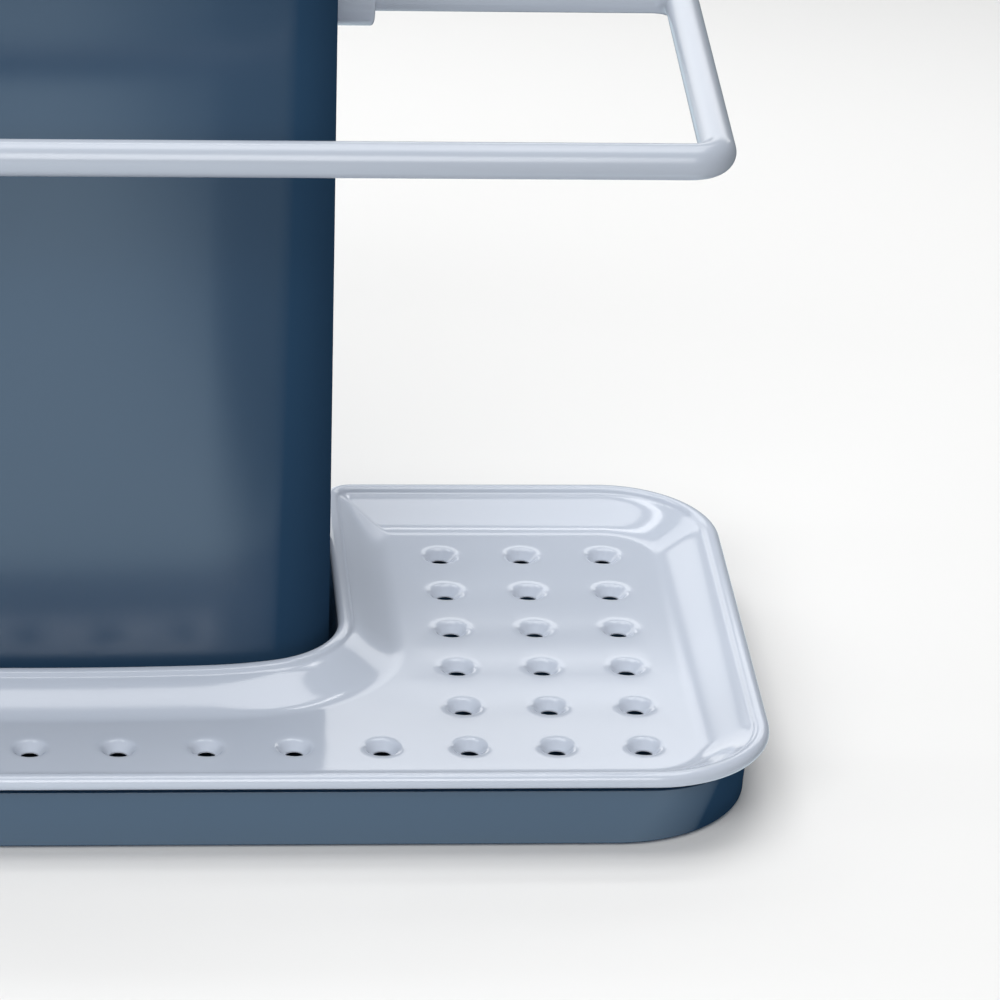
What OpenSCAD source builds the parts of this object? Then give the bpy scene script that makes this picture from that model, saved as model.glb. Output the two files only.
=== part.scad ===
/* [Container] */
// Width of the tall container at its foot
container_w = 123.4; // [100:0.1:160]
// Depth of the tall container at its foot
container_d = 79.4; // [65:0.1:110]
// Height of the container wall
container_h = 158; // [120:1:200]
// Thickness of the container wall
container_wall = 2.2; // [1.8:0.1:3]
// Plan radius of the container corners
container_corner_r = 19.5; // [14:0.5:26]
// Inward lean of the container walls in degrees
container_draft = 0.67; // [0:0.01:1]
// Width of a weep notch in the foot of the container
weep_w = 12; // [6:1:20]
// Height of a weep notch in the foot of the container
weep_h = 3; // [2:0.5:4]

/* [Drain tray] */
// Distance between neighbouring drain holes
hole_pitch = 17.5; // [14:0.1:22]
// Number of hole columns in each side bay
bay_columns = 3; // [2:1:4]
// Distance from the outermost hole column to the rim line at each end
side_margin = 23.2; // [20:0.1:30]
// Distance from a hole row to the rim line in front and behind
row_margin = 22.6; // [20:0.1:28]
// Diameter of a drain hole
hole_d = 3.6; // [3:0.1:5]
// Diameter of the soft dimple round a drain hole
dimple_d = 7.2; // [6:0.1:9]
// Depth of the dimple
dimple_depth = 1.3; // [0.8:0.1:1.5]
// Radius of the rolled rim
rim_r = 1.6; // [1.2:0.1:2]
// Height of the top of the rim above the drain floor
rim_rise = 6; // [5:0.1:8]
// Distance from the rim line to the flat of the drain floor
rim_run = 12.4; // [11:0.1:15]
// Plan radius of the rim line at the outer corners
rim_corner_r = 23.1; // [18:0.1:30]
// Plan radius of the rim line where the rim turns in beside the container
rim_end_r = 4.5; // [3:0.1:6]
// Thickness of the drain tray's skin
tray_wall = 1.8; // [1.4:0.1:2]

/* [Base tray] */
// Thickness of the base tray's wall
base_wall = 2; // [1.6:0.1:2.4]
// Thickness of the base tray's floor
base_floor = 2; // [1.8:0.1:3]
// Clear height from the base tray's floor to the top of the drain floor
drain_height = 9; // [8:0.1:16]
// Distance that the base tray's wall stands in from the edge of the rim
base_inset = 3.7; // [3.2:0.1:4.2]
// Height of the ribs that locate the container
seat_h = 4.5; // [3:0.5:5]
// Thickness of the ribs that locate the container
seat_t = 2; // [1.5:0.1:3]
// Width of the gaps between the locating ribs
seat_gap_w = 16; // [8:1:24]

/* [Rail] */
// Diameter of the cloth rail
rail_d = 7; // [6:0.1:8]
// Centreline radius of the rail's bends
rail_bend_r = 5.8; // [5:0.1:12]
// Distance from the top of the container down to the rail's centreline
rail_drop = 20.7; // [14:0.1:46]
// Distance that the rail stands in from the edge of the tray, in front and at the sides
rail_inset = 13.7; // [10:0.1:18]
// Distance from the rear of the container to the rail's sockets
socket_rear = 21; // [18:0.5:30]
// Outer diameter of a rail socket
socket_d = 13; // [11:0.1:16]
// Length of a rail socket outside the container
socket_l = 9; // [7:0.1:12]
// Thickness of the closed end of a rail socket
socket_end_t = 1.2; // [1:0.1:2]
// Diameter of the socket's spigot in the container wall
spigot_d = 9; // [8:0.1:10]
// Height of the flat pad on the container behind a socket
pad_t = 0.5; // [0.3:0.1:1]
// Width of the pad's edge beyond the socket
pad_edge = 1.2; // [0.8:0.1:2]
// Depth of the flat on the rail's ends that stops it turning
key_depth = 0.8; // [0.5:0.1:1.2]

/* [Liner] */
// Thickness of the liner's wall and floor
liner_wall = 1.6; // [1.2:0.1:2]
// Thickness of the liner's flange on top of the container
flange_t = 1.8; // [1.4:0.1:2.4]
// Width of the flange's edge beyond the container wall
flange_edge = 0.6; // [0.2:0.1:1]
// Gap between the liner's floor and the locating ribs
liner_foot_gap = 1.2; // [0.8:0.1:3]
// Diameter of a drain hole in the liner's floor
liner_hole_d = 5; // [4:0.5:7]
// Distance between the columns of the liner's drain holes
liner_hole_pitch = 14; // [12:0.5:18]
// Number of rows of the liner's drain holes
liner_hole_rows = 3; // [2:1:4]
// Distance of the divider to the left of the middle
divider_x = 14; // [8:1:24]
// Depth of the ribs that hold the divider
groove_depth = 3; // [2:0.5:4]
// Thickness of the ribs that hold the divider
groove_rib_t = 1.6; // [1.2:0.1:2.4]

/* [Divider] */
// Thickness of the divider plate
divider_t = 2; // [1.6:0.1:2.6]
// Distance from the top of the liner down to the divider
divider_drop = 10; // [6:1:24]
// Corner radius of the divider
divider_corner_r = 6; // [4:0.5:10]
// Width of the finger slot in the divider
finger_w = 28; // [22:1:36]
// Height of the finger slot in the divider
finger_h = 14; // [12:1:18]
// Distance from the top of the divider to the finger slot
finger_drop = 9; // [7:1:14]

/* [Feet] */
// Diameter of a rubber foot
foot_d = 12; // [9:0.5:16]
// Thickness of a rubber foot
foot_t = 1.8; // [1.4:0.1:2.2]
// Distance that a foot stands out below the base tray
foot_proud = 0.8; // [0.6:0.1:1]
// Distance from the outer edge of the base tray to the middle of a foot
foot_inset = 17; // [14:0.5:26]

/* [Fits] */
// Gap between the container and the rim round it
notch_gap = 1.6; // [1:0.1:2.5]
// Gap between the container and the base tray's rear wall
rear_gap = 0.6; // [0.4:0.1:1.5]
// Gap at each side of a part that lifts out
lift_gap = 0.4; // [0.3:0.05:0.6]
// Gap between a lifting part and the floor below it
floor_gap = 0.4; // [0.3:0.05:0.8]
// Radial clearance of a pressed or slipped round fit
fit_gap = 0.05; // [0.02:0.01:0.1]

/* [Hidden] */
$fn = 96;
slate = "#53667d";
pale = "#c3cad8";
dark = "#2c2f33";
// Overrun of every cut
over = 1;

// Heights, from the surface that the feet stand on
base_z = foot_proud;
base_floor_z = base_z + base_floor;
floor_z = base_floor_z + drain_height;
under_z = floor_z - tray_wall;
rim_top_z = floor_z + rim_rise;
rim_mid_z = rim_top_z - rim_r;
ledge_z = rim_mid_z - rim_r;
container_top_z = base_floor_z + container_h;
rail_z = container_top_z - rail_drop;

// Plan of the tray, from the middle of its box
lip_gap = notch_gap + rim_r;
edge_w = base_inset + base_wall + rear_gap;
front_zone = rim_r + row_margin * 2 + lip_gap;
tray_d = front_zone + container_d + edge_w;
rim_y = tray_d / 2 - rim_r;
inner_column_x = container_w / 2 + lip_gap + row_margin;
rim_x = inner_column_x + (bay_columns - 1) * hole_pitch + side_margin;
tray_w = 2 * (rim_x + rim_r);

// Plan of the container
container_front_y = -tray_d / 2 + front_zone;
container_rear_y = container_front_y + container_d;
container_mid_y = (container_front_y + container_rear_y) / 2;
corner_x = container_w / 2 - container_corner_r;
front_corner_y = container_front_y + container_corner_r;
rear_corner_y = container_rear_y - container_corner_r;
lean = tan(container_draft);

// Hole pattern
first_row_y = -rim_y + row_margin;
last_row_y = rim_y - row_margin;
row_steps = round((last_row_y - first_row_y) / hole_pitch);
row_pitch = (last_row_y - first_row_y) / row_steps;
front_steps = round(2 * inner_column_x / hole_pitch);
front_pitch = 2 * inner_column_x / front_steps;

// Shares of the rim's run and rise that draw the dish wall, from the rim inwards
run_shares = [0, 0.07, 0.145, 0.242, 0.355, 0.6, 0.83, 0.91, 1];
rise_shares = [1, 0.975, 0.91, 0.825, 0.717, 0.395, 0.095, 0.025, 0];
// Share of the skin by which a sloping wall is thicker when measured upright
slope_share = 1.15;
// Distances from the rim line to the base tray's wall and to the rib inside it
wall_out = base_inset - rim_r;
rib_out = wall_out + base_wall + lift_gap;
rib_in = rib_out + tray_wall;
skirt_in = tray_wall - rim_r;
skirt_z = base_floor_z + floor_gap;
// Steps in a half turn of the rolled rim
roll_steps = 12;

// Rail
rail_x = tray_w / 2 - rail_inset - rail_d / 2;
rail_front_y = -tray_d / 2 + rail_inset + rail_d / 2;
socket_y = container_rear_y - socket_rear;
pad_x = container_w / 2 - (rail_z - base_floor_z) * lean + pad_t;
rail_end_x = pad_x + socket_end_t + fit_gap;
front_bend_y = rail_front_y + rail_bend_r;
bend_x = rail_x - rail_bend_r;
rear_bend_y = socket_y - rail_bend_r;

// Liner and divider
liner_top_inset = container_wall + lift_gap + container_h * lean;
liner_floor_z = base_floor_z + seat_h + liner_foot_gap;
liner_depth = container_top_z - liner_floor_z;
liner_front_y = container_front_y + liner_top_inset + liner_depth * lean + liner_wall;
liner_rear_y = container_rear_y - liner_top_inset - liner_depth * lean - liner_wall;
divider_z = liner_floor_z + liner_wall + floor_gap;
divider_h = container_top_z + flange_t - divider_drop - divider_z;
divider_w = liner_rear_y - liner_front_y - 2 * lift_gap;

// Feet
foot_x = tray_w / 2 - base_inset - foot_inset;
foot_y = tray_d / 2 - base_inset - foot_inset;

function rim_top(k) = floor_z + rim_rise * rise_shares[k];
function rim_under(k) = min(rim_top(k) - tray_wall * (k == len(run_shares) - 1 ? 1 : slope_share),
                            rim_top_z - tray_wall);
function roll(from, to) = [for (k = [0 : roll_steps])
    let (a = from + (to - from) * k / roll_steps) [rim_r * cos(a), rim_mid_z + rim_r * sin(a)]];
function dish_top() = [for (k = [1 : len(run_shares) - 1]) [rim_run * run_shares[k], rim_top(k)]];
function dish_under(start) = [for (k = [0 : len(run_shares) - 1])
    if (rim_run * run_shares[k] > start) [rim_run * run_shares[k], max(rim_under(k), under_z)]];

// Height of the underside at a distance in from the rim line
function under_at(d) = let (k = max([for (i = [0 : len(run_shares) - 2])
    if (rim_run * run_shares[i] <= d) i]),
    t = (d - rim_run * run_shares[k]) / (rim_run * (run_shares[k + 1] - run_shares[k])))
    rim_under(k) + t * (rim_under(k + 1) - rim_under(k));

// Section of the outer rim: rolled edge, ledge on the base wall, locating rib, dish wall
outer_section = concat(roll(270, 90), dish_top(),
    [[rim_run, under_z], [rib_out, under_z], [rib_out, ledge_z]]);
outer_hollow = concat([[rib_in, under_z - over], [rib_in, under_at(rib_in)]], dish_under(rib_in),
    [[rim_run, under_z - over]]);
// Section of the rim round the container: rolled edge, skirt, dish wall
notch_section = concat([[-rim_r, skirt_z]], roll(180, 90), dish_top(),
    [[rim_run, under_z], [skirt_in, under_z], [skirt_in, skirt_z]]);
notch_hollow = concat([[skirt_in, under_z - over], [skirt_in, under_at(max(skirt_in, 0))]],
    dish_under(skirt_in), [[rim_run, under_z - over]]);

// Rounded plate shape
module plan(w, d, r) {
    square([w - 2 * r, d], center = true);
    square([w, d - 2 * r], center = true);
    for (x = [-1, 1], y = [-1, 1])
        translate([x * (w / 2 - r), y * (d / 2 - r)]) circle(r);
}

// Straight stretch of a section: it faces the given way and runs to the right of it
module straight(at, facing, length, section) {
    translate(at) rotate([0, 0, facing]) rotate([90, 0, 0]) linear_extrude(length) polygon(section);
}

// Turned stretch of a section, with the section inside or outside the radius
module turned(at, from, sweep, r, side, section) {
    translate(at) rotate([0, 0, from]) rotate_extrude(angle = sweep)
        polygon([for (p = section) [r + side * p[0], p[1]]]);
}

// One half of the rim that goes all round the outside, on the right
module outer_half(section) {
    c = rim_corner_r;
    e = container_w / 2 + lip_gap + rim_end_r;
    straight([rim_x, -rim_y + c, 0], 180, 2 * (rim_y - c), section);
    straight([0, -rim_y, 0], 90, rim_x - c, section);
    straight([rim_x - c, rim_y, 0], 270, rim_x - c - e, section);
    turned([rim_x - c, -rim_y + c, 0], 270, 90, c, -1, section);
    turned([rim_x - c, rim_y - c, 0], 0, 90, c, -1, section);
}

// One half of the rim that goes round the container, on the right
module notch_half(section) {
    x = container_w / 2 + lip_gap;
    straight([x, rim_y - rim_end_r, 0], 0, rim_y - rim_end_r - front_corner_y, section);
    turned([corner_x, front_corner_y, 0], 270, 90, container_corner_r + lip_gap, 1, section);
    straight([corner_x, container_front_y - lip_gap, 0], 270, corner_x, section);
}

// Rim end that turns from the rear into the notch
module end_half(section) {
    clipped = [for (p = section) [max(rim_end_r - p[0], 0), p[1]]];
    translate([container_w / 2 + lip_gap + rim_end_r, rim_y - rim_end_r, 0])
        rotate([0, 0, 90]) rotate_extrude(angle = 90) polygon(clipped);
}

module both_sides() {
    children();
    mirror([1, 0, 0]) children();
}

// Solid whose walls lean in as they rise, with the container's rounded plan
module leaning_body(inset, z, h, top_lean) {
    r = container_corner_r - inset;
    grow = h * top_lean;
    side_x = container_w / 2 - inset;
    front_d = container_front_y + inset;
    rear_d = container_rear_y - inset;
    translate([0, 0, z]) {
        for (x = [-1, 1], y = [front_corner_y, rear_corner_y])
            translate([x * corner_x, y, 0]) cylinder(h = h, r1 = r, r2 = r - grow);
        translate([0, rear_corner_y, 0]) rotate([90, 0, 0])
            linear_extrude(rear_corner_y - front_corner_y)
                polygon([[-side_x, 0], [side_x, 0], [side_x - grow, h], [-side_x + grow, h]]);
        translate([-corner_x, 0, 0]) rotate([90, 0, 90]) linear_extrude(2 * corner_x)
            polygon([[front_d, 0], [rear_d, 0], [rear_d - grow, h], [front_d + grow, h]]);
    }
}

// Funnel and hole that drain the tray
module drain_cut() {
    r = hole_d / 2;
    soft = dimple_d / 2 - r;
    arc = [for (a = [0 : 22.5 : 90])
        [r + soft * (1 - cos(a)), floor_z - dimple_depth * (1 - sin(a))]];
    rotate_extrude($fn = 32) polygon(concat([[0, under_z - over], [r, under_z - over]], arc,
        [[dimple_d / 2, floor_z + over], [0, floor_z + over]]));
}

module base_tray() {
    w = tray_w - 2 * base_inset;
    d = tray_d - 2 * base_inset;
    r = rim_corner_r + rim_r - base_inset;
    wall = base_wall;
    seat_in = container_wall + lift_gap;
    color(slate) difference() {
        union() {
            difference() {
                translate([0, 0, base_z]) linear_extrude(ledge_z - base_z) plan(w, d, r);
                translate([0, 0, base_floor_z]) linear_extrude(ledge_z)
                    plan(w - 2 * wall, d - 2 * wall, r - wall);
            }
            difference() {
                leaning_body(seat_in, base_floor_z, seat_h, lean);
                translate([0, 0, -over]) leaning_body(seat_in + seat_t, base_floor_z,
                    seat_h + 2 * over, lean);
                translate([-seat_gap_w / 2, -tray_d / 2, base_floor_z]) cube([seat_gap_w, tray_d, container_h]);
                translate([-tray_w / 2, container_mid_y - seat_gap_w / 2, base_floor_z])
                    cube([tray_w, seat_gap_w, container_h]);
            }
        }
        for (x = [-1, 0, 1], y = [-1, 1])
            translate([x * foot_x, y * foot_y, base_z - over])
                cylinder(h = foot_t - foot_proud + over, d = foot_d + 2 * fit_gap);
    }
}

module foot(x, y) {
    color(dark) translate([x * foot_x, y * foot_y, 0]) cylinder(h = foot_t, d = foot_d);
}

module drain_tray() {
    color(pale) difference() {
        union() {
            both_sides() {
                outer_half(outer_section);
                notch_half(notch_section);
                end_half(notch_section);
            }
            tray_floor();
        }
        both_sides() {
            outer_half(outer_hollow);
            notch_half(notch_hollow);
            end_half(notch_hollow);
        }
        rear_wall_cut();
        for (k = [0 : front_steps])
            translate([-inner_column_x + k * front_pitch, first_row_y, 0]) drain_cut();
        both_sides() {
            for (c = [1 : bay_columns - 1])
                translate([inner_column_x + c * hole_pitch, first_row_y, 0]) drain_cut();
            for (c = [0 : bay_columns - 1], k = [1 : row_steps])
                translate([inner_column_x + c * hole_pitch, first_row_y + k * row_pitch, 0]) drain_cut();
        }
    }
}

// Room under the rim for the base tray's rear wall, beside the container
module rear_wall_cut() {
    x = container_w / 2 + lip_gap + rib_in;
    translate([-x, rim_y - rib_out, 0]) cube([2 * x, tray_d, ledge_z]);
}

// Flat drain floor between the dish walls
module tray_floor() {
    lap = rim_run - tray_wall;
    grow = lip_gap + lap;
    w = 2 * (rim_x - lap);
    d = 2 * (rim_y - lap);
    translate([0, 0, under_z]) linear_extrude(tray_wall) difference() {
        plan(w, d, rim_corner_r - lap);
        translate([0, container_front_y - grow + tray_d])
            plan(container_w + 2 * grow, 2 * tray_d, container_corner_r + grow);
    }
}

module container() {
    color(slate) difference() {
        union() {
            leaning_body(0, base_floor_z, container_h, lean);
            for (x = [-1, 1]) translate([x * pad_x, socket_y, rail_z]) rotate([0, -x * 90, 0])
                cylinder(h = pad_t + container_wall / 2, d = socket_d + 2 * pad_edge);
        }
        translate([0, 0, -over]) leaning_body(container_wall, base_floor_z, container_h + 2 * over, lean);
        for (y = [container_front_y - over, container_rear_y - container_wall - over])
            translate([-weep_w / 2, y, base_floor_z - over])
                cube([weep_w, container_wall + 2 * over, weep_h + over]);
        translate([-tray_w / 2, socket_y, rail_z]) rotate([0, 90, 0])
            cylinder(h = tray_w, d = spigot_d + 2 * fit_gap);
    }
}

// Round bar with the flat that keys it, along +X from its end face
module keyed_bar(length, d, flat) {
    difference() {
        rotate([0, 90, 0]) cylinder(h = length, d = d);
        translate([-over, -d, d / 2 - flat]) cube([length + 2 * over, 2 * d, d]);
    }
}

module rail_socket_right() {
    bore_x = pad_x + socket_end_t;
    color(pale) difference() {
        union() {
            translate([pad_x, socket_y, rail_z]) rotate([0, 90, 0]) cylinder(h = socket_l, d = socket_d);
            translate([pad_x - pad_t - container_wall, socket_y, rail_z]) rotate([0, 90, 0])
                cylinder(h = pad_t + container_wall + over, d = spigot_d);
        }
        translate([bore_x, socket_y, rail_z])
            keyed_bar(socket_l, rail_d + 2 * fit_gap, key_depth);
    }
}

module rail_socket_left() {
    mirror([1, 0, 0]) rail_socket_right();
}

module rail_bend(y, from) {
    translate([bend_x, y, rail_z]) rotate([0, 0, from])
        rotate_extrude(angle = 90) translate([rail_bend_r, 0]) circle(d = rail_d);
}

module rail_half() {
    key_l = socket_l - socket_end_t;
    translate([0, rail_front_y, rail_z]) rotate([0, 90, 0]) cylinder(h = bend_x, d = rail_d);
    rail_bend(front_bend_y, 270);
    translate([rail_x, front_bend_y, rail_z]) rotate([-90, 0, 0])
        cylinder(h = rear_bend_y - front_bend_y, d = rail_d);
    rail_bend(rear_bend_y, 0);
    translate([rail_end_x, socket_y, rail_z]) keyed_bar(key_l, rail_d, key_depth);
    translate([rail_end_x + key_l, socket_y, rail_z]) rotate([0, 90, 0])
        cylinder(h = bend_x - rail_end_x - key_l, d = rail_d);
}

module rail() {
    color(pale) both_sides() rail_half();
}

module liner() {
    floor_inset = liner_top_inset + liner_depth * lean;
    color(pale) difference() {
        union() {
            leaning_body(floor_inset, liner_floor_z, liner_depth + flange_t, -lean);
            leaning_body(container_h * lean - flange_edge, container_top_z, flange_t, 0);
        }
        difference() {
            leaning_body(floor_inset + liner_wall, liner_floor_z + liner_wall,
                liner_depth + flange_t + over, -lean);
            for (y = [liner_front_y - container_corner_r, liner_rear_y - groove_depth], x = [-1, 1])
                translate([-divider_x - groove_rib_t / 2 + x * (divider_t + groove_rib_t + lift_gap) / 2, y,
                    liner_floor_z])
                    cube([groove_rib_t, container_corner_r + groove_depth, liner_depth - divider_drop]);
        }
        liner_holes();
    }
}

module liner_holes() {
    row_gap = (liner_rear_y - liner_front_y) / (liner_hole_rows + 1);
    for (s = [-1, 1], c = [1 : floor((corner_x + s * divider_x) / liner_hole_pitch)],
            k = [1 : liner_hole_rows])
        translate([-divider_x + s * c * liner_hole_pitch, liner_front_y + k * row_gap,
            liner_floor_z - over])
            cylinder(h = liner_wall + 2 * over, d = liner_hole_d, $fn = 32);
}

module divider() {
    color(pale) translate([-divider_x - divider_t / 2, (liner_front_y + liner_rear_y) / 2,
        divider_z + divider_h / 2]) rotate([90, 0, 90]) linear_extrude(divider_t) difference() {
        plan(divider_w, divider_h, divider_corner_r);
        translate([0, divider_h / 2 - finger_drop - finger_h / 2]) {
            square([finger_w - finger_h, finger_h], center = true);
            for (x = [-1, 1]) translate([x * (finger_w - finger_h) / 2, 0]) circle(d = finger_h);
        }
    }
}

base_tray();
foot(-1, -1);  // foot_front_left
foot(0, -1);  // foot_front_middle
foot(1, -1);  // foot_front_right
foot(-1, 1);  // foot_rear_left
foot(0, 1);  // foot_rear_middle
foot(1, 1);  // foot_rear_right
drain_tray();
container();
rail_socket_left();
rail_socket_right();
rail();
liner();
divider();
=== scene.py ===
"""Looks of a kitchen sink caddy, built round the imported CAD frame.

Sizes in the classes are millimetres in the row frame, with the origin under the middle of the base,
+X to the right, +Y to the rear and +Z up. A finished mesh is scaled to metres.
"""

from __future__ import annotations

import logging
import math
from dataclasses import dataclass, field, replace
from enum import Enum

import bmesh
import bpy
from mathutils import Matrix, Vector

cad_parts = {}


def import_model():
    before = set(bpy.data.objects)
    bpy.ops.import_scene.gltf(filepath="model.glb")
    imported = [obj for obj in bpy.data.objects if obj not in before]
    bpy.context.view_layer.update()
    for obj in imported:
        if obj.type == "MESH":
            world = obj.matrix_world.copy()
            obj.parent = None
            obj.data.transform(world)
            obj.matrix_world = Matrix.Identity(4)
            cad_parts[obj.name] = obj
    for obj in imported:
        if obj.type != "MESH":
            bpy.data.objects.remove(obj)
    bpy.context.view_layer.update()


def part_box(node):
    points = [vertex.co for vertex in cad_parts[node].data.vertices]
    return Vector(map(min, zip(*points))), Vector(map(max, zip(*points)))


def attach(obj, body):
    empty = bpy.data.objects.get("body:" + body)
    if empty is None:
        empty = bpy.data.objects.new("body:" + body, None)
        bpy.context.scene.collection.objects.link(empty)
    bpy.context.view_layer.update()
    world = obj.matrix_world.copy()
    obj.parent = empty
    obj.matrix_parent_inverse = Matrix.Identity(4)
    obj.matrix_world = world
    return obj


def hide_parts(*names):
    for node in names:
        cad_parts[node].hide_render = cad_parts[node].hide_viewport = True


LOG = logging.getLogger("caddy")
MM = 0.001
WELD = 1e-4
SHARP = math.radians(32)

Point = tuple[float, float]
Place = tuple[float, float, float]
Colour = tuple[float, float, float]


class Side(Enum):
    """Which side of an outline a distance is measured to."""

    IN = -1
    OUT = 1


class Edge(Enum):
    """The section that a stretch of the drain tray's rim has."""

    OUTER = 0
    NOTCH = 1


@dataclass(frozen=True)
class Station:
    """A place on an outline, from which the outline is offset."""

    centre: Point
    angle: float
    radius: float
    side: Side
    fillet: float = 0.0
    mitre: Point = (0.0, 0.0)
    edge: Edge = Edge.OUTER

    def at(self, distance: float) -> Point:
        """Gives the point at a distance from the outline.

        Args:
            distance: Distance to the side where the material lies.

        Returns:
            The point in plan.
        """
        radius = self.radius + self.side.value * distance
        slip = max(self.fillet - radius, 0.0) if self.side is Side.IN else 0.0
        radius += slip
        return (
            self.centre[0] + self.mitre[0] * slip + math.cos(self.angle) * radius,
            self.centre[1] + self.mitre[1] * slip + math.sin(self.angle) * radius,
        )


@dataclass
class Outline:
    """A path in plan made of arcs, joined by straight stretches."""

    stations: list[Station] = field(default_factory=list)

    def arc(self, centre: Point, start: float, end: float, radius: float, steps: int,
            side: Side = Side.IN, fillet: float = 0.0, edge: Edge = Edge.OUTER) -> Outline:
        """Adds an arc.

        Args:
            centre: Middle of the arc.
            start: First angle, in degrees.
            end: Last angle, in degrees.
            radius: Radius on the outline itself.
            steps: Number of steps along the arc.
            side: Side of the material, seen from the centre.
            fillet: Smallest radius that an inward offset keeps.
            edge: Section of this stretch.

        Returns:
            The outline, so that calls can be chained.
        """
        middle = math.radians((start + end) / 2)
        mitre = (-round(math.cos(middle) * math.sqrt(2)), -round(math.sin(middle) * math.sqrt(2)))
        for k in range(steps + 1):
            angle = math.radians(start + (end - start) * k / steps)
            self.stations.append(Station(centre, angle, radius, side, fillet, mitre, edge))
        return self

    def mirrored(self) -> Outline:
        """Gives the other half of the outline, in running order."""
        flipped = [Station((-s.centre[0], s.centre[1]), math.pi - s.angle, s.radius, s.side, s.fillet,
                           (-s.mitre[0], s.mitre[1]), s.edge) for s in reversed(self.stations)]
        return Outline(flipped)


def rounded_outline(size: Point, centre: Point, radius: float, steps: int, fillet: float = 0.0,
                    side: Side = Side.IN) -> Outline:
    """Draws a rounded rectangle.

    Args:
        size: Width and depth.
        centre: Middle of the rectangle.
        radius: Corner radius.
        steps: Steps in each corner.
        fillet: Smallest radius of an inward offset.
        side: Side of the material, seen from the corners' centres.

    Returns:
        The closed outline.
    """
    half = (size[0] / 2 - radius, size[1] / 2 - radius)
    line = Outline()
    for sign_x, sign_y, start in ((1, -1, 270), (1, 1, 0), (-1, 1, 90), (-1, -1, 180)):
        middle = (centre[0] + sign_x * half[0], centre[1] + sign_y * half[1])
        line.arc(middle, start, start + 90, radius, steps, side, fillet)
    return line


def arc_points(centre: Point, radius: float, start: float, end: float, steps: int) -> list[Point]:
    """Lists points along an arc, with both ends.

    Args:
        centre: Middle of the arc.
        radius: Its radius.
        start: First angle, in degrees.
        end: Last angle, in degrees.
        steps: Number of steps along the arc.

    Returns:
        The points.
    """
    angles = [math.radians(start + (end - start) * k / steps) for k in range(steps + 1)]
    return [(centre[0] + radius * math.cos(a), centre[1] + radius * math.sin(a)) for a in angles]


def rounded_section(corners: list[Place], closed: bool, steps: int = 4) -> list[Point]:
    """Rounds the corners of a section.

    Args:
        corners: Corner points, each with the radius of its rounding.
        closed: True if the last corner joins the first.
        steps: Steps in each rounding.

    Returns:
        The points of the section.
    """
    points: list[Point] = []
    last = len(corners) - 1
    for k, (x, z, radius) in enumerate(corners):
        here = Vector((x, z))
        if radius <= 0 or (not closed and k in (0, last)):
            points.append((x, z))
            continue
        before = (Vector(corners[k - 1][:2]) - here).normalized()
        after = (Vector(corners[(k + 1) % len(corners)][:2]) - here).normalized()
        half = before.angle(after) / 2
        reach = radius / math.tan(half)
        middle = here + (before + after).normalized() * radius / math.sin(half)
        start, end = here + before * reach - middle, here + after * reach - middle
        first = math.atan2(start.y, start.x)
        turn = (math.atan2(end.y, end.x) - first + math.pi) % math.tau - math.pi
        for j in range(steps + 1):
            angle = first + turn * j / steps
            points.append((middle.x + radius * math.cos(angle), middle.y + radius * math.sin(angle)))
    return points


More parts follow.
